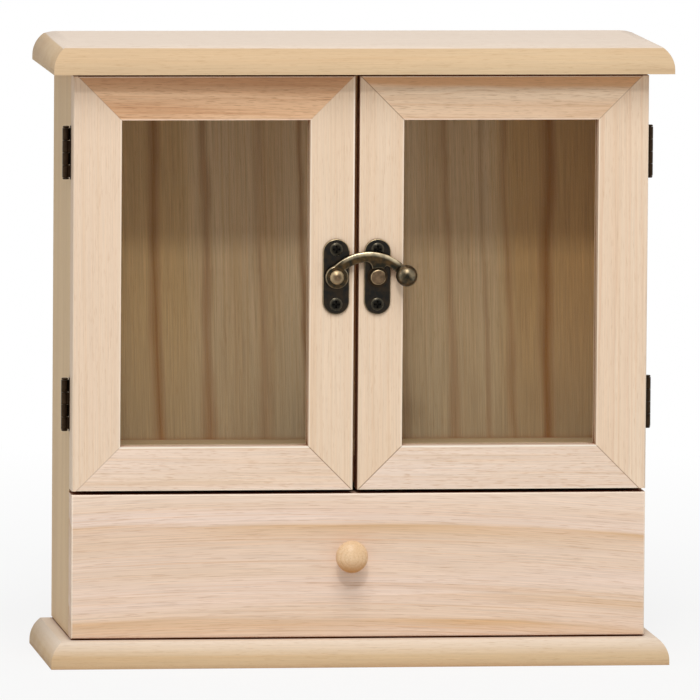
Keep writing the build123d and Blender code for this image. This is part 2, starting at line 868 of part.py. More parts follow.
def door_nodes(door, side):
    nodes = {
        f"{side}_door_hinge_stile": hinge_stile(door),
        f"{side}_door_lock_stile": lock_stile(door),
        f"{side}_door_top_rail": door_top_rail(door),
        f"{side}_door_bottom_rail": door_bottom_rail(door),
        f"{side}_door_glass": door_glass(door),
        f"{side}_door_glazing_beads": group(glazing_beads(door)),
    }
    screws = []
    for mid_z, level in zip(hinge_heights(), ("upper", "lower")):
        nodes[f"{side}_{level}_hinge_door_leaf"] = hinge_leaf(door.sign, mid_z, -1)
        screws += hinge_screws(door.sign, mid_z, -1, flat_screw)
    nodes[f"{side}_door_hinge_screws"] = group(screws)
    return nodes


def latch_nodes():
    return {
        "latch_plate": latch_plate(left_door),
        "latch_plate_screws": group(plate_screws(left_door, dome_screw)),
        "latch_pivot_rivet": pivot_rivet(),
        "latch_arm": latch_arm(),
        "catch_plate": latch_plate(right_door),
        "catch_plate_screws": group(plate_screws(right_door, dome_screw)),
        "catch_post": catch_post(),
    }


def drawer_nodes():
    return {
        "drawer_front": drawer_front(),
        "drawer_left_side": drawer_side(-1),
        "drawer_right_side": drawer_side(1),
        "drawer_back": drawer_back(),
        "drawer_bottom": drawer_floor(),
        "drawer_dowels": group(drawer_dowels()),
        "drawer_knob": drawer_knob(),
        "drawer_knob_screw": knob_screw(),
    }


def main():
    nodes = carcass_nodes()
    nodes.update(door_nodes(left_door, "left"))
    nodes.update(door_nodes(right_door, "right"))
    nodes.update(latch_nodes())
    nodes.update(drawer_nodes())
    os.makedirs("parts", exist_ok=True)
    for name, shape in nodes.items():
        export_step(shape, f"parts/{name}.step")
    print(len(nodes), "nodes written")


main()
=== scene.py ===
import math

import bpy
from mathutils import Matrix, Vector


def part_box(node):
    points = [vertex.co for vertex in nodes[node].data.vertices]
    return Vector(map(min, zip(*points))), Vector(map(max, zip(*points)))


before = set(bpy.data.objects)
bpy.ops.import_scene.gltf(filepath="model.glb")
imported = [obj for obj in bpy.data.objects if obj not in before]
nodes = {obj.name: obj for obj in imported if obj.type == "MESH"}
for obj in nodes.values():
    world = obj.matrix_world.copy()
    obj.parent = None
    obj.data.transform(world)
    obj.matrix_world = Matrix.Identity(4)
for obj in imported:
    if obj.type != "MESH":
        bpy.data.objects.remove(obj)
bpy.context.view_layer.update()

# Small display cabinet in bare wood. Metres: the doors face -Y and Z is up.
mm = 0.001
axes = {"x": Vector((1, 0, 0)), "y": Vector((0, 1, 0)), "z": Vector((0, 0, 1))}


def toLinear(hexColour):
    # "#rrggbb" as seen on screen, to the linear values that a shader takes
    parts = [int(hexColour[i:i + 2], 16) / 255 for i in (1, 3, 5)]
    return [c / 12.92 if c <= 0.04045 else ((c + 0.055) / 1.055) ** 2.4 for c in parts] + [1.0]


def addNode(tree, kind, inputs=(), **settings):
    # inputs names its sockets in a dictionary, or fills the first ones in order from a list:
    # with a value, with a socket, or with a whole node, whose first output is then linked
    node = tree.nodes.new("ShaderNode" + kind)
    for name, value in settings.items():
        setattr(node, name, value)
    for socket, value in inputs.items() if isinstance(inputs, dict) else enumerate(inputs):
        if isinstance(value, bpy.types.Node):
            value = value.outputs[0]
        if isinstance(value, bpy.types.NodeSocket):
            tree.links.new(value, node.inputs[socket])
        else:
            node.inputs[socket].default_value = value
    return node


def newMaterial(name):
    material = bpy.data.materials.new(name)
    material.use_nodes = True
    material.node_tree.nodes.clear()
    return material, material.node_tree


def dress(name, material):
    data = nodes[name].data
    data.materials.clear()
    data.materials.append(material)


# Softwood, planed and sanded but not finished: dull, with soft growth rings, fine fibres and
# short pores along the grain. Each piece is cut from its own place in a log, so no two match.
wood = {
    "logStep": 137.0,  # mm along the log from one piece to the next
    "cellRoughness": 0.55,  # of the noises
    "ringEnds": (0.5, 0.6),  # darkness at a ring's start and end, which softens the jump there
    "patches": (0.35, 0.65, 0.3, 1.0),  # rings fade in places: noise from and to, share from and to
    "broad": (0.38, 0.62), "streak": (0.52, 0.68), "fibre": (0.3, 0.7),  # noise from and to
    "poreEdge": 0.08,  # how softly a pore ends, as noise
    "faceShare": 0.85,  # how much of the painted light on upward flats shows
    "inward": (0.5, -0.5),  # turned to the inside of the cabinet, as the normal's Y
    "level": (0.5, 0.9),  # lying on a front or a back, as the size of the normal's Y
    "corner": (0.98, 0.95), "cornerColour": "#fff1de",  # the size of the normal's longest part, and the colour of a painted highlight
    # how open a place is within so many mm, and the painted glow and painted shade from it
    "gapReach": 5, "gapSamples": 6, "glow": (0.7, 0.45), "glowShare": 0.4, "glowColour": "#9f6832",
    "gapShade": (0.44, 0.22), "gapShadeColour": "#8a4416", "gapShadeRoughness": 0.4,
    "bump": 0.3, "bumpHeight": 0.1, "roughSwing": 0.06,  # height in mm
    "index": 1.5, "specular": 0.12, "waxRoughness": 0.3,  # bare fibres hardly mirror anything
    "weld": 0.001, "arrisSegments": 2, "arrisAngle": 35,  # mm, and degrees between two faces
}


def placeInLog(tree, place, name, look):
    # piece coordinates become log coordinates in mm: X along the grain, the heart at Y = Z = 0
    low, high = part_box(name)
    grain, across = axes[look["grain"]], axes[look["across"]]
    tiltY, tiltZ = (math.radians(angle) for angle in look["tilt"])
    turn = Matrix.Rotation(tiltY, 3, "Y") @ Matrix.Rotation(tiltZ, 3, "Z")
    turn = turn @ Matrix((grain, across, grain.cross(across)))
    heart = Vector((look["seed"] * wood["logStep"], *look["heart"]))
    inLog = addNode(tree, "Mapping", {"Vector": place, "Scale": (1 / mm,) * 3,
                                      "Rotation": turn.to_euler(),
                                      "Location": heart - turn @ ((low + high) / 2 / mm)})
    if "bow" in look:
        # the grain sags towards both ends, as in a board sawn from a swept log
        half, rise, middle = look["bow"]
        along = addNode(tree, "SeparateXYZ", [inLog])
        away = addNode(tree, "Math", [along, 1 / half, -(heart.x + middle) / half],
                       operation="MULTIPLY_ADD")
        sag = addNode(tree, "Math", [away, 2.0], operation="POWER")
        sag = addNode(tree, "Math", [sag, rise], operation="MULTIPLY")
        drop = addNode(tree, "CombineXYZ", {"Y": sag})
        inLog = addNode(tree, "VectorMath", [inLog, drop], operation="ADD")
    return inLog, heart


def addNoises(tree, inLog, look):
    # each in cells that are so many mm long and wide, with its own detail and shift
    cells = {"slow": (look["wave"], 24, 2, 0), "ripple": (34, 6, 2, 7.3),
             "uneven": (160, 12, 1, 3.1), "broad": (240, look["broad"], 1, 11),
             "streak": (260, look["streakWidth"], 2, 17.7), "fibre": (38, 0.45, 3, 23.4),
             "pore": (look["poreLength"], 0.32, 1, 5.7)}
    noises = {}
    for kind, (length, width, detail, shift) in cells.items():
        spot = addNode(tree, "Mapping", {"Vector": inLog, "Location": (shift,) * 3,
                                         "Scale": (1 / length, 1 / width, 1 / width)})
        noises[kind] = addNode(tree, "TexNoise", {"Vector": spot, "Scale": 1.0, "Detail": detail,
                                                  "Roughness": wood["cellRoughness"]})
    return noises


def addRings(tree, inLog, noises, look):
    # growth rings: the distance from the heart, bent by two noises, counted in rings
    bends = {"slow": 2 * look["bend"], "ripple": look["bend"] / 3}
    bent = inLog
    for kind, reach in bends.items():
        bent = addNode(tree, "VectorMath", [noises[kind].outputs["Color"], (0, reach, reach), bent],
                       operation="MULTIPLY_ADD")
    middle = sum(bends.values()) / 2  # noise averages a half
    bent = addNode(tree, "VectorMath", [bent, (0, middle, middle)], operation="SUBTRACT")
    counted = addNode(tree, "VectorMath", [bent, (0, 1 / look["ring"], 1 / look["ring"])],
                      operation="MULTIPLY")
    count = addNode(tree, "VectorMath", [counted], operation="LENGTH").outputs["Value"]
    # each ring darkens slowly and stops at once
    late = addNode(tree, "ValToRGB", [addNode(tree, "Math", [count], operation="FRACT")])
    stops = late.color_ramp.elements
    for stop, shade in zip(stops, wood["ringEnds"]):
        stop.color = (shade, shade, shade, 1)
    for position, shade in look["ramp"]:
        stops.new(position).color = (shade, shade, shade, 1)
    patchy = addNode(tree, "MapRange", [noises["uneven"], *wood["patches"]])
    return bent, addNode(tree, "Math", [late, patchy], operation="MULTIPLY")


def makeWood(name, look):
    material, tree = newMaterial("bareWood_" + name)
    texture = addNode(tree, "TexCoord").outputs
    place = texture["Object"]
    facing = addNode(tree, "SeparateXYZ", [texture["Normal"]]).outputs
    inLog, heart = placeInLog(tree, place, name, look)
    noises = addNoises(tree, inLog, look)
    bent, late = addRings(tree, inLog, noises, look)

    # colour goes on in layers over the pale wood: where it lies, how strong it is, and its colour
    layers = [
        (addNode(tree, "MapRange", [noises["broad"], *wood["broad"]]), 1.0, look["tone"]),
        (late, look["rings"], look["late"]),
        (addNode(tree, "MapRange", [noises["streak"], *wood["streak"]]), look["streaks"],
         look["streak"]),
    ]
    along, side = addNode(tree, "SeparateXYZ", [bent]).outputs[:2]
    for start, end, share, hexColour in look.get("bands", ()):
        # another colour of wood from here to one edge of the board; on the knob, painted shade on
        # its lower side
        limits = (heart.y + start, heart.y + end)
        layers.append((addNode(tree, "MapRange", [side, *limits]), share, hexColour))
    if "foot" in look:
        # painted shade: darker towards one end, on the face that looks into the cabinet
        start, end, share, hexColour = look["foot"]
        inside = addNode(tree, "MapRange", [facing[1], *wood["inward"]])
        limits = (heart.x + start, heart.x + end)
        layers.append((addNode(tree, "MapRange", [along, *limits, 0.0, inside]), share, hexColour))
    if "marks" in look:
        # single resin streaks at their own places across the board
        marks, reach, hexColour = look["marks"]
        ramp = addNode(tree, "ValToRGB", [addNode(tree, "MapRange", [side, heart.y - reach,
                                                                     heart.y + reach])])
        stops = ramp.color_ramp.elements
        stops[0].color = stops[1].color = (0, 0, 0, 1)
        for spot, half, strength in marks:
            for step, shade in ((-half, 0), (0, strength), (half, 0)):
                stops.new(0.5 + (spot + step) / reach / 2).color = (shade, shade, shade, 1)
        layers.append((ramp, 1.0, hexColour))
    if "face" in look:
        # painted light: flats that face up are painted paler and a little pink, for light and
        # reflection from above
        flat = addNode(tree, "MapRange", [facing[2], *look["faceFrom"]])
        layers.append((flat, wood["faceShare"], look["face"]))
    pore = addNode(tree, "MapRange", [noises["pore"], look["poreLimit"],
                                      look["poreLimit"] + wood["poreEdge"]])
    layers.append((pore, look["pores"], look["pore"]))
    # painted shade: a warm glow painted in corners, as wood lit only by wood, and narrow gaps
    # painted dark
    gap = addNode(tree, "AmbientOcclusion", {"Distance": wood["gapReach"] * mm},
                  samples=wood["gapSamples"]).outputs["AO"]
    glow = addNode(tree, "MapRange", [gap, *wood["glow"]])
    layers.append((glow, wood["glowShare"], wood["glowColour"]))
    if look["edge"]:
        # sanded corners are paler than the faces, and a painted highlight makes them paler still:
        # they are all that looks along no axis
        normal = addNode(tree, "NewGeometry").outputs["True Normal"]
        normal = addNode(tree, "VectorTransform", [normal], vector_type="NORMAL",
                         convert_from="WORLD", convert_to="OBJECT")
        normal = addNode(tree, "VectorMath", [normal], operation="ABSOLUTE")
        x, y, z = addNode(tree, "SeparateXYZ", [normal]).outputs
        most = addNode(tree, "Math", [x, y], operation="MAXIMUM")
        most = addNode(tree, "Math", [most, z], operation="MAXIMUM")
        corner = addNode(tree, "MapRange", [most, *wood["corner"]])
        layers.append((corner, look["edge"], wood["cornerColour"]))
    if "lines" in look:
        # glue lines, and sanded edges with a painted highlight, which lie on the front and the back
        # only
        level = addNode(tree, "Math", [facing[1]], operation="ABSOLUTE")
        level = addNode(tree, "MapRange", [level, *wood["level"]])
    for start, way, near, far, share, hexColour in look.get("lines", ()):
        off = addNode(tree, "VectorMath", [place, start], operation="SUBTRACT")
        off = addNode(tree, "VectorMath", [off, (way.z, 0, -way.x)], operation="DOT_PRODUCT")
        off = addNode(tree, "Math", [off.outputs["Value"]], operation="ABSOLUTE")
        line = addNode(tree, "MapRange", [off, far * mm, near * mm, 0.0, level])
        layers.append((line, share, hexColour))
    gapShade = addNode(tree, "MapRange", [gap, *wood["gapShade"]])
    layers.append((gapShade, 1.0, wood["gapShadeColour"]))

    colour = toLinear(look["pale"])
    for share, strength, hexColour in layers:
        strong = addNode(tree, "Math", [share, strength], operation="MULTIPLY", use_clamp=True)
        colour = addNode(tree, "Mix", {0: strong, 6: colour, 7: toLinear(hexColour)},
                         data_type="RGBA").outputs[2]
    fibre, fibres, rough = noises["fibre"], look["fibres"], look["rough"]
    shade = addNode(tree, "MapRange", [fibre, *wood["fibre"], 1 - fibres, 1 + fibres])
    colour = addNode(tree, "VectorMath", {0: colour, "Scale": shade}, operation="SCALE")

    height = addNode(tree, "Math", [fibre, pore], operation="SUBTRACT")
    bump = addNode(tree, "Bump", {"Strength": wood["bump"], "Distance": wood["bumpHeight"] * mm,
                                  "Height": height})
    swing = wood["roughSwing"]
    rough = addNode(tree, "MapRange", [fibre, *wood["fibre"], rough - swing, rough + swing])
    rough = addNode(tree, "Math", [gapShade, wood["gapShadeRoughness"], rough],
                    operation="MULTIPLY_ADD", use_clamp=True)
    shader = addNode(tree, "BsdfPrincipled", {
        "Base Color": colour, "Roughness": rough, "Normal": bump, "IOR": wood["index"],
        "Specular IOR Level": wood["specular"], "Coat Weight": look["wax"],
        "Coat Roughness": wood["waxRoughness"]})
    addNode(tree, "OutputMaterial", {"Surface": shader})
    return material


def roundArrises(name, width):
    # a touch of sandpaper on the corners, after joining the corners that the frame leaves split
    weld = nodes[name].modifiers.new("weld", "WELD")
    weld.merge_threshold = wood["weld"] * mm
    arris = nodes[name].modifiers.new("arris", "BEVEL")
    arris.width = width * mm
    arris.segments = wood["arrisSegments"]
    arris.limit_method = "ANGLE"
    arris.angle_limit = math.radians(wood["arrisAngle"])
    arris.harden_normals = True


# heart is where the log's middle lies from the piece's middle, in mm. So are wave, bend, ring,
# broad, streakWidth and poreLength, and bow: a half length, the sag there and where the top is.
# tilt is in degrees. ramp is where in a ring it has which darkness. A band or a foot has a start,
# an end, a share and a colour, and a mark has a place, half a width and a strength.
plain = {"grain": "x", "across": "z", "tilt": (0.3, 0.4), "heart": (60, 22), "wave": 110,
         "bend": 2.5, "ring": 3.4, "ramp": ((0.05, 0.0), (0.5, 0.1), (0.86, 0.5), (0.96, 1.0)),
         "rings": 0.35, "pale": "#edd6bd", "tone": "#e9cfb4", "late": "#dfbf9e", "broad": 16,
         "streak": "#e2c3a2", "streaks": 0.4, "streakWidth": 1.1,
         "pore": "#cba27c", "pores": 0.3, "poreLimit": 0.61, "poreLength": 6.0,
         "fibres": 0.055, "rough": 0.6, "wax": 0.0, "edge": 0.9, "arris": 0.4}
upright = dict(plain, grain="z", across="x")
lockStile = dict(upright, pale="#ead2b8", tone="#e6cbaf", edge=0.25)
bottomRail = dict(plain, streaks=0.5, pores=0.5, poreLimit=0.59, fibres=0.09)
sidePanel = dict(upright, across="y", pale="#e4c79d", tone="#ddbf95", heart=(60, 12), edge=0.2)
# golden on the moulding; flats that face up get painted light from above, paler and a little pink
board = dict(plain, across="y", pale="#d8bd99", tone="#d3b590", late="#cba77e", streak="#d5b58e",
             pore="#b48f68", heart=(14, 46), ring=4.2, face="#ecdccd", faceFrom=(0.87, 0.91),
             edge=0, arris=0.3)
dowel = dict(plain, edge=0, arris=0)
woodPieces = {
    "left_door_hinge_stile": dict(upright, seed=1, heart=(64, 25), pale="#edd7bf", tone="#ead1b8",
                                  edge=0.25),
    "left_door_lock_stile": dict(lockStile, seed=2, heart=(75, -30), edge=0.5),
    "right_door_lock_stile": dict(lockStile, seed=3, heart=(58, 22)),
    "right_door_hinge_stile": dict(upright, seed=4, heart=(34, 40), ring=4.6, late="#dbb391",
                                   rings=0.45, streak="#dfbb98", edge=0.25),
    # redder wood from near the heart, which both top rails have
    "left_door_top_rail": dict(plain, seed=5, pale="#e9c19b", tone="#deb28b", late="#c08d65",
                               streak="#c8946c", pore="#a3734e", heart=(10, 26), tilt=(0.8, 1.0),
                               bend=4.0, rings=0.5, streaks=0.5, pores=0.45, poreLimit=0.58,
                               fibres=0.07, broad=7, bands=[(2.5, 8.0, 0.5, "#c08d66")]),
    "left_door_bottom_rail": dict(bottomRail, seed=6, pale="#efd8c5", tone="#ebd3bd",
                                  late="#dcb899", heart=(-30, 28)),
    "right_door_top_rail": dict(plain, seed=7, pale="#f0d6b9", tone="#e7c6a6", late="#d3aa84",
                                streak="#d8b18c", pore="#b38a64", ring=3.6, heart=(14, 30),
                                tilt=(0.5, 0.8), bend=3.0, rings=0.4, streaks=0.45, pores=0.4,
                                poreLimit=0.58, broad=8, bands=[(3.5, 6.0, 0.8, "#d6a171")]),
    "right_door_bottom_rail": dict(bottomRail, seed=8, pale="#efdac9", tone="#ebd4c0",
                                   late="#dcba9e", heart=(-34, 30)),
    # flat-sawn, so that two wide rings arch over it
    "drawer_front": dict(plain, seed=9, pale="#eed7c7", tone="#e7ceb8", late="#d6ad7d", ring=36.4,
                         heart=(110.6, 58.3), tilt=(0, 0), wave=170, bend=3.6, bow=(130, 5.0, -27),
                         rings=0.9, ramp=((0.03, 0.0), (0.13, 0.05), (0.25, 0.55), (0.265, 0.05),
                                          (0.68, 0.08), (0.85, 0.4), (0.985, 1.0)), broad=14,
                         streak="#d9b088", streaks=0.5, streakWidth=1.0, pore="#b38257", pores=0.35,
                         poreLength=11.0, fibres=0.09, bands=[(26, 30, 0.7, "#efd8c4")], edge=0.5),
    "left_side_panel": dict(sidePanel, seed=10),
    "right_side_panel": dict(sidePanel, seed=11),
    "top_board": dict(board, seed=12),
    "bottom_board": dict(board, seed=13, pale="#d3b893", tone="#ceb08a", face="#e7d7c6",
                         faceFrom=(0.3, 0.85)),
    # darker than the other wood: painted shade, for the shade of the doors' bottom rails on it
    "divider_shelf": dict(plain, seed=14, across="y", pale="#bfa888", tone="#b39b79"),
    # thin and fast-grown, with resin streaks, and painted shade darker towards the bottom inside
    "back_panel": dict(upright, seed=15, pale="#dec5a4", tone="#d4b692", late="#bd9566", ring=13.0,
                       heart=(-10, 34), tilt=(0.5, 1.4), bend=6.0, wave=150, rings=0.25, broad=24,
                       streak="#bf976a", streakWidth=1.3, pore="#a2794d", fibres=0.15,
                       edge=0, arris=0, foot=(30, -75, 0.9, "#a39279"),
                       bands=[(-58, -70, 0.75, "#cba674"), (70, 84, 0.85, "#c79e6a")],
                       marks=(((-83, 4.2, 0.7), (-59, 3.4, 0.6), (-34, 5.0, 0.3),
                               (-14.5, 2.0, 0.7), (9, 5.0, 1.0), (31, 4.0, 0.3), (53, 3.2, 0.45),
                               (70, 2.6, 0.4), (80, 2.0, 0.4), (97, 4.4, 0.8)), 125, "#8c5318")),
    "drawer_left_side": dict(plain, seed=16, grain="y"),
    "drawer_right_side": dict(plain, seed=17, grain="y"),
    "drawer_back": dict(plain, seed=18),
    "drawer_bottom": dict(plain, seed=19, across="y", arris=0.1, pale="#d9bd97", tone="#cfae84"),
    # turned from a stick and waxed: end grain in front, and painted shade on its lower side
    "drawer_knob": dict(plain, seed=20, grain="y", pale="#eecfaa", tone="#e4c096", late="#c99a68",
                        streak="#d8ae7f", pore="#a87746", ring=1.7, heart=(0.3, 0.4),
                        tilt=(1.5, 1), bend=0.5, rings=0.6, bands=[(-1.0, -6.5, 0.9, "#bb803d")],
                        edge=0, arris=0, rough=0.45, wax=0.4),
    "left_door_glazing_beads": dict(upright, seed=21),
    "right_door_glazing_beads": dict(upright, seed=22),
    "top_board_dowels": dict(dowel, seed=23, grain="z", across="x"),
    "divider_dowels": dict(dowel, seed=24),
    "drawer_dowels": dict(dowel, seed=25),
}
# Each door's four mitres run outwards at 45 degrees from the corners of its opening, whose edges
# are sanded pale and carry a painted highlight. A line is drawn full up to the first distance in
# mm and is gone at the second.
doorLines = {
    "glue": (0.08, 0.3), "glueColour": "#7a4f30",
    "glueShare": {"left_door": {"top": (0.3, 0.1), "bottom": (0.3, 0.7)},  # left and right end
                  "right_door": {"top": (0.6, 0.35), "bottom": (0.7, 0.6)}},
    # sanded and meeting edges are painted pale as a painted highlight; the glue lines are dark
    # joints
    "sandedHighlight": (0.45, 0.75), "meeting": (0.75, 1.0, 0.6, "#fff2e0"),
    "railEdge": {"top": (0.4, "#fdeada"), "bottom": (0.9, "#fff6e6")},
    "stileEdge": (0.4, "#fff2e0"),
}


def drawDoorLines(door, stiles):
    # stiles are the left and the right one as seen from the front
    boxes = [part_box(stile) for stile in stiles]
    sandedHighlight = doorLines["sandedHighlight"]
    for level, shares in doorLines["glueShare"][door].items():
        rail = door + "_" + level + "_rail"
        low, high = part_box(rail)
        inner, rise = (low.z, 1) if level == "top" else (high.z, -1)
        lines = [(Vector((0, 0, inner)), axes["x"], *sandedHighlight, *doorLines["railEdge"][level])]
        woodPieces[rail]["lines"] = lines
        for side, share in enumerate(shares):
            corner = Vector((boxes[side][1 - side].x, 0, inner))  # of the opening
            way = Vector((2 * side - 1, 0, rise)).normalized()  # outwards
            line = (corner, way, *doorLines["glue"], share, doorLines["glueColour"])
            lines.append(line)
            woodPieces[stiles[side]].setdefault("lines", []).append(line)
    for side, stile in enumerate(stiles):
        line = (boxes[side][1 - side], axes["z"], *sandedHighlight, *doorLines["stileEdge"])
        woodPieces[stile]["lines"].append(line)


drawDoorLines("left_door", ["left_door_hinge_stile", "left_door_lock_stile"])
drawDoorLines("right_door", ["right_door_lock_stile", "right_door_hinge_stile"])
# the edge that the right door meets, with a painted highlight
meeting = (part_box("left_door_lock_stile")[1], axes["z"], *doorLines["meeting"])
woodPieces["left_door_lock_stile"]["lines"].append(meeting)
for name, look in woodPieces.items():
    dress(name, makeWood(name, look))
    if look["arris"]:
        roundArrises(name, look["arris"])
print("wood:", len(woodPieces), "pieces")


# Die-cast or pressed, plated, blackened and tumbled: hollows painted dark as painted shade, and
# brassy where it rubs, with a painted highlight on rims and on what faces up.
metal = {
    "cloudRoughness": 0.6, "cloudDetail": 4.0,
    "grit": 0.35, "gritDetail": 2.0, "gritLimits": (0.3, 0.7),  # mm, and the noise from and to
    "sides": (0.1, 0.45),  # the size of the normal's Y, from the sides to the rest
    "above": (-0.6, 0.7),  # the normal's Z, from the underside to the top: painted light from above
    "eye": (-13, -9), "ball": (11.5, 14),  # mm to the right of the arch's centre
    "patches": (0.35, 0.6), "patchWearAndHighlight": 0.6, "browner": (0.4, 0.65),  # noise from and to
    # how open a place is within so many mm, and the painted shade that follows from it
    "gapReach": 1.6, "gapSamples": 6, "gap": (0.8, 0.35), "gapShare": 0.85,
    "deepEdge": 0.2, "deepShare": 0.8,  # mm, and the share of painted shade behind that depth
    "bump": 0.15, "bumpHeight": 0.05, "smoother": 0.06, "rougher": 0.08,  # height in mm
}


def makeMetal(name, look):
    material, tree = newMaterial(name)
    texture = addNode(tree, "TexCoord").outputs
    place = texture["Object"]
    cloud = addNode(tree, "TexNoise", {"Vector": place, "Scale": 1 / (look["cloud"] * mm),
                                       "Detail": metal["cloudDetail"],
                                       "Roughness": metal["cloudRoughness"]})
    grit = addNode(tree, "TexNoise", {"Vector": place, "Scale": 1 / (metal["grit"] * mm),
                                      "Detail": metal["gritDetail"]})
    # tumbling rubs what turns away from the flat front, and these rims carry a painted highlight,
    # brightest where they face up, as painted light from above
    facing = addNode(tree, "SeparateXYZ", [texture["Normal"]]).outputs
    flat = addNode(tree, "Math", [facing[1]], operation="ABSOLUTE")
    turned = addNode(tree, "MapRange", [flat, *look["turn"]])
    # but the side faces, which nothing touches, keep their blacking and stay dark as painted
    # shade beside the highlighted rim
    rounded = addNode(tree, "MapRange", [flat, *metal["sides"]])
    turned = addNode(tree, "Math", [turned, rounded], operation="MULTIPLY")
    upper = addNode(tree, "MapRange", [facing[2], *metal["above"], look["under"], 1.0])
    wornAndLit = addNode(tree, "Math", [turned, upper], operation="MULTIPLY")
    if "arch" in look:
        # a painted highlight along the outside of the arm's arch, where fingers also polish it:
        # distance from its centre, which is in mm
        x, z, start, end, share = look["arch"]
        out = addNode(tree, "VectorMath", [place, (x * mm, 0, z * mm)], operation="SUBTRACT")
        out = addNode(tree, "VectorMath", [out, (1, 0, 1)], operation="MULTIPLY")
        beside = addNode(tree, "SeparateXYZ", [out])
        out = addNode(tree, "VectorMath", [out], operation="LENGTH").outputs["Value"]
        out = addNode(tree, "MapRange", [out, start * mm, end * mm, 0.0, share],
                      interpolation_type="SMOOTHSTEP")
        # not round the eye, and less on the ball
        eye = addNode(tree, "MapRange", [beside, *(edge * mm for edge in metal["eye"])])
        out = addNode(tree, "Math", [out, eye], operation="MULTIPLY")
        out = addNode(tree, "Math", [out, rounded], operation="MULTIPLY")
        wornAndLit = addNode(tree, "Math", [wornAndLit, out], operation="MAXIMUM")
        ball = addNode(tree, "MapRange", [beside, *(edge * mm for edge in metal["ball"]), 1.0,
                                          look["ball"]])
        wornAndLit = addNode(tree, "Math", [wornAndLit, ball], operation="MULTIPLY")
    wearAndHighlight = look["wearAndHighlight"]
    patchy = addNode(tree, "MapRange", [cloud, *metal["patches"], metal["patchWearAndHighlight"] * wearAndHighlight, wearAndHighlight])
    wornAndLit = addNode(tree, "Math", [wornAndLit, patchy], operation="MULTIPLY")
    browner = addNode(tree, "MapRange", [cloud, *metal["browner"]])
    colour = addNode(tree, "Mix", {0: browner, 6: toLinear(look["dark"]),
                                   7: toLinear(look["brown"])}, data_type="RGBA").outputs[2]
    colour = addNode(tree, "Mix", {0: wornAndLit, 6: colour, 7: toLinear(look["rubbedAndLit"])},
                     data_type="RGBA").outputs[2]
    # painted shade: corners and recesses go dark
    gap = addNode(tree, "AmbientOcclusion", {"Distance": metal["gapReach"] * mm},
                  samples=metal["gapSamples"]).outputs["AO"]
    black = addNode(tree, "MapRange", [gap, *metal["gap"], 0.0, metal["gapShare"]])
    if "deep" in look:
        # and painted shade on whatever lies behind this depth
        depth = addNode(tree, "SeparateXYZ", [place]).outputs[1]
        limits = ((look["deep"] - metal["deepEdge"]) * mm, look["deep"] * mm)
        depth = addNode(tree, "MapRange", [depth, *limits, 0.0, metal["deepShare"]])
        black = addNode(tree, "Math", [black, depth], operation="MAXIMUM")
    colour = addNode(tree, "Mix", {0: black, 6: colour, 7: toLinear(look["hollow"])},
                     data_type="RGBA").outputs[2]
    rough = addNode(tree, "MapRange", [grit, *metal["gritLimits"],
                                       look["rough"] - metal["smoother"],
                                       look["rough"] + metal["rougher"]])
    bump = addNode(tree, "Bump", {"Strength": metal["bump"], "Distance": metal["bumpHeight"] * mm,
                                  "Height": grit})
    shader = addNode(tree, "BsdfPrincipled", {"Base Color": colour, "Metallic": 1.0,
                                              "Roughness": rough, "Normal": bump})
    addNode(tree, "OutputMaterial", {"Surface": shader})
    return material


# cloud is the size of the patches in mm, turn is where rubbing and its painted highlight start and
# are full, as the size of the normal's Y, and under is how much of it is left below. arch is the
# centre's X and Z, and the start, end and share of its painted highlight. Whatever lies behind
# deep, a Y in mm, is painted black as painted shade.
metals = {
    # pressed sheet, blackened all over: nearly black, with a brassy rim that is partly painted
    # highlight
    "antiqueBronzePlate": {"dark": "#242321", "brown": "#342c23", "rubbedAndLit": "#e3cda4",
                           "hollow": "#100c08", "rough": 0.34, "cloud": 3.0, "wearAndHighlight": 0.9,
                           "turn": (0.98, 0.8), "under": 0.3},
    # cast, and handled most: a painted highlight along the top of the arch, over real polish
    "antiqueBronzeCast": {"dark": "#28261f", "brown": "#523f28", "rubbedAndLit": "#e9d6b2",
                          "hollow": "#100b06", "rough": 0.3, "cloud": 3.0, "wearAndHighlight": 0.9,
                          "turn": (0.985, 0.75), "under": 0.15,
                          "arch": (3.25, 163.85, 20.8, 22.5, 0.9), "ball": 0.27},
    # turned heads, rubbed nearly bare: brown brass with a painted highlight on the rims and
    # the dome, and painted shade on the flange behind
    "antiqueBronzeStud": {"dark": "#574736", "brown": "#77614a", "rubbedAndLit": "#d3bc94",
                          "hollow": "#15100b", "rough": 0.36, "cloud": 2.5, "wearAndHighlight": 0.9,
                          "turn": (0.97, 0.75), "under": 0.6, "deep": -40.3},
    # blackened heads: dark, a little shiny, grey on the rims, where the driver touches and
    # where a painted highlight lies
    "blackenedSteelScrew": {"dark": "#1b1b19", "brown": "#26221c", "rubbedAndLit": "#7d735f",
                            "hollow": "#060505", "rough": 0.28, "cloud": 1.5, "wearAndHighlight": 0.7,
                            "turn": (0.97, 0.91), "under": 0.5},
    # darkened bronze plating: brown-black and hardly rubbed
    "blackenedHinge": {"dark": "#2a2018", "brown": "#382b20", "rubbedAndLit": "#66523b",
                       "hollow": "#120c07", "rough": 0.38, "cloud": 2.5, "wearAndHighlight": 0.4,
                       "turn": (0.985, 0.75), "under": 0.25},
    # screws and nails inside, behind and underneath: an even pale grey
    "zincPlatedSteel": {"dark": "#8f8f8c", "brown": "#a3a3a0", "rubbedAndLit": "#c9c9c6",
                        "hollow": "#4a4a48", "rough": 0.35, "cloud": 2.0, "wearAndHighlight": 0.3,
                        "turn": (0.985, 0.75), "under": 0.25},
}
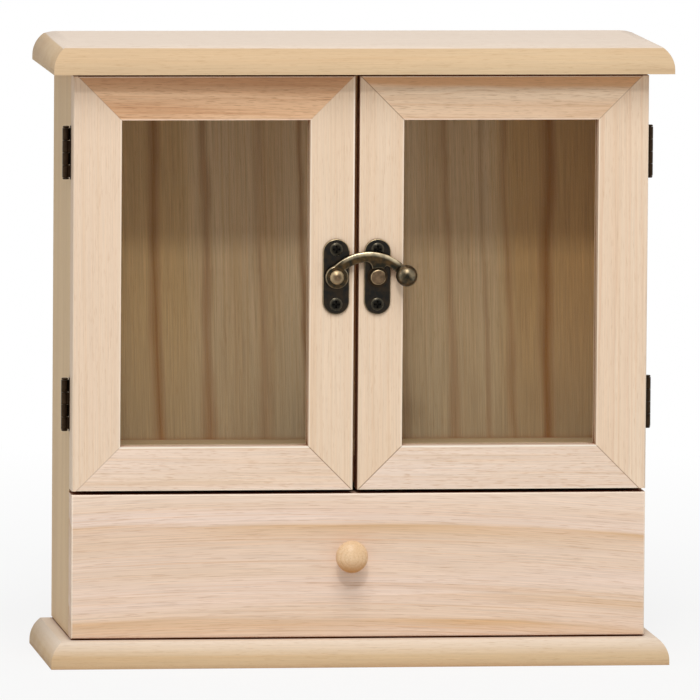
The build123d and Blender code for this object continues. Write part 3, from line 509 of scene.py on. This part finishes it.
metalOf = {
    "latch_arm": "antiqueBronzeCast",
    "latch_pivot_rivet": "antiqueBronzeStud",
    "catch_post": "antiqueBronzeStud",
    "latch_plate": "antiqueBronzePlate",
    "catch_plate": "antiqueBronzePlate",
    "latch_plate_screws": "blackenedSteelScrew",
    "catch_plate_screws": "blackenedSteelScrew",
    "bottom_board_screws": "zincPlatedSteel",
    "back_panel_nails": "zincPlatedSteel",
    "drawer_knob_screw": "zincPlatedSteel",
}
hingeParts = [name for name in nodes if "hinge" in name and "stile" not in name]
metalOf.update(dict.fromkeys(hingeParts, "blackenedHinge"))
finished = {name: makeMetal(name, look) for name, look in metals.items()}
for name, finish in metalOf.items():
    dress(name, finished[finish])
print("metal:", len(metalOf), "pieces")


# Clear float glass, 2 mm. The index is under glass's usual 1.5, because the real panes stood
# in softer reflections than this white room gives.
pane = {"colour": "#f8f9f6", "index": 1.14, "pieces": ("left_door_glass", "right_door_glass")}


def makeGlass():
    material, tree = newMaterial("clearFloatGlass")
    colour = toLinear(pane["colour"])
    path = addNode(tree, "LightPath").outputs
    solid = addNode(tree, "BsdfPrincipled", {"Base Color": colour, "Roughness": 0.0,
                                             "IOR": pane["index"], "Transmission Weight": 1.0})
    clear = addNode(tree, "BsdfTransparent", {"Color": colour})
    # scattered light and lamps pass straight through, so the inside is lit cleanly
    seen = addNode(tree, "MixShader", [path["Is Diffuse Ray"], solid, clear])
    lit = addNode(tree, "MixShader", [path["Is Shadow Ray"], seen, clear])
    addNode(tree, "OutputMaterial", {"Surface": lit})
    return material


glass = makeGlass()
for name in pane["pieces"]:
    dress(name, glass)
print("glass:", len(pane["pieces"]), "panes")


# White to the eye, with the cabinet's soft shadow near it, and plain pale to the light.
# floorSize, lampTarget and the distances between which the shadow fades out are in metres.
studio = {"floorSize": 16.0, "floor": "#dddcda", "floorRoughness": 0.9, "sky": 0.44,
          "whiteNear": 0.82, "shadowReach": (0.25, 0.9), "lampTarget": (0, 0, 0.15)}


def addSeen(tree):
    # 1 where the camera sees it, straight or in metal and glass, and 0 for the light it sends out
    path = addNode(tree, "LightPath").outputs
    seen = addNode(tree, "Math", [path["Is Camera Ray"], path["Is Glossy Ray"]], operation="ADD")
    return addNode(tree, "Math", [seen, path["Is Transmission Ray"]], operation="ADD",
                   use_clamp=True)


def makeFloor():
    half = studio["floorSize"] / 2
    corners = [(-half, -half, 0), (half, -half, 0), (half, half, 0), (-half, half, 0)]
    mesh = bpy.data.meshes.new("floor")
    mesh.from_pydata(corners, [], [(0, 1, 2, 3)])
    floor = bpy.data.objects.new("floor", mesh)
    bpy.context.scene.collection.objects.link(floor)
    material, tree = newMaterial("paleFloor")
    place = addNode(tree, "TexCoord").outputs["Object"]
    far = addNode(tree, "VectorMath", [place], operation="LENGTH").outputs["Value"]
    share = addNode(tree, "MapRange", [far, *studio["shadowReach"], studio["whiteNear"], 1.0])
    share = addNode(tree, "Math", [addSeen(tree), share], operation="MULTIPLY")
    dull = addNode(tree, "BsdfPrincipled", {"Base Color": toLinear(studio["floor"]),
                                            "Roughness": studio["floorRoughness"]})
    white = addNode(tree, "Emission", {"Color": (1, 1, 1, 1), "Strength": 1.0})
    mixed = addNode(tree, "MixShader", [share, dull, white])
    addNode(tree, "OutputMaterial", {"Surface": mixed})
    mesh.materials.append(material)


def makeSky():
    world = bpy.data.worlds.new("studio")
    bpy.context.scene.world = world
    world.use_nodes = True
    tree = world.node_tree
    tree.nodes.clear()
    strength = addNode(tree, "MapRange", [addSeen(tree), 0.0, 1.0, studio["sky"], 1.0])
    sky = addNode(tree, "Background", {"Color": (1, 1, 1, 1), "Strength": strength})
    addNode(tree, "OutputWorld", {"Surface": sky})


# degrees to the right of the front and up, distance and size in metres, watts
lamps = {
    "keySoftbox": {"right": -3, "up": 57, "away": 2.6, "size": 1.2, "power": 30.5},
    "topSpot": {"right": -8.5, "up": 37.7, "away": 3.0, "size": 0.28, "power": 18.8},
}


def wayTo(right, up):
    # from the cabinet, so many degrees to the right of its front and up
    right, up = math.radians(right), math.radians(up)
    return Vector((math.sin(right) * math.cos(up), -math.cos(right) * math.cos(up), math.sin(up)))


def makeLamps():
    target = Vector(studio["lampTarget"])
    for name, lamp in lamps.items():
        way = wayTo(lamp["right"], lamp["up"])
        light = bpy.data.lights.new(name, "AREA")
        light.shape = "SQUARE"
        light.size = lamp["size"]
        light.energy = lamp["power"]
        thing = bpy.data.objects.new(name, light)
        bpy.context.scene.collection.objects.link(thing)
        thing.location = target + way * lamp["away"]
        thing.rotation_euler = way.to_track_quat("Z", "Y").to_euler()


# a long lens from slightly left and above; degrees, metres and mm
camera = {"right": -7.1503, "up": 5.5065, "roll": 0.4256, "away": 5.525, "lens": 628.11,
          "sensor": 36, "farClip": 100, "target": (0.0001, 0, 0.1385)}


def makeCamera():
    back = wayTo(camera["right"], camera["up"])
    right, roll = math.radians(camera["right"]), math.radians(camera["roll"])
    level = Vector((math.cos(right), math.sin(right), 0))
    above = back.cross(level)
    sideways = level * math.cos(roll) + above * math.sin(roll)
    upwards = above * math.cos(roll) - level * math.sin(roll)
    data = bpy.data.cameras.new("camera")
    data.lens = camera["lens"]
    data.sensor_width = camera["sensor"]
    data.clip_end = camera["farClip"]
    thing = bpy.data.objects.new("camera", data)
    bpy.context.scene.collection.objects.link(thing)
    turn = Matrix((sideways, upwards, back)).transposed().to_4x4()
    place = Vector(camera["target"]) + back * camera["away"]
    thing.matrix_world = Matrix.Translation(place) @ turn
    bpy.context.scene.camera = thing


makeFloor()
makeSky()
makeLamps()
makeCamera()
bpy.context.scene.view_settings.view_transform = "Standard"
print("studio done")
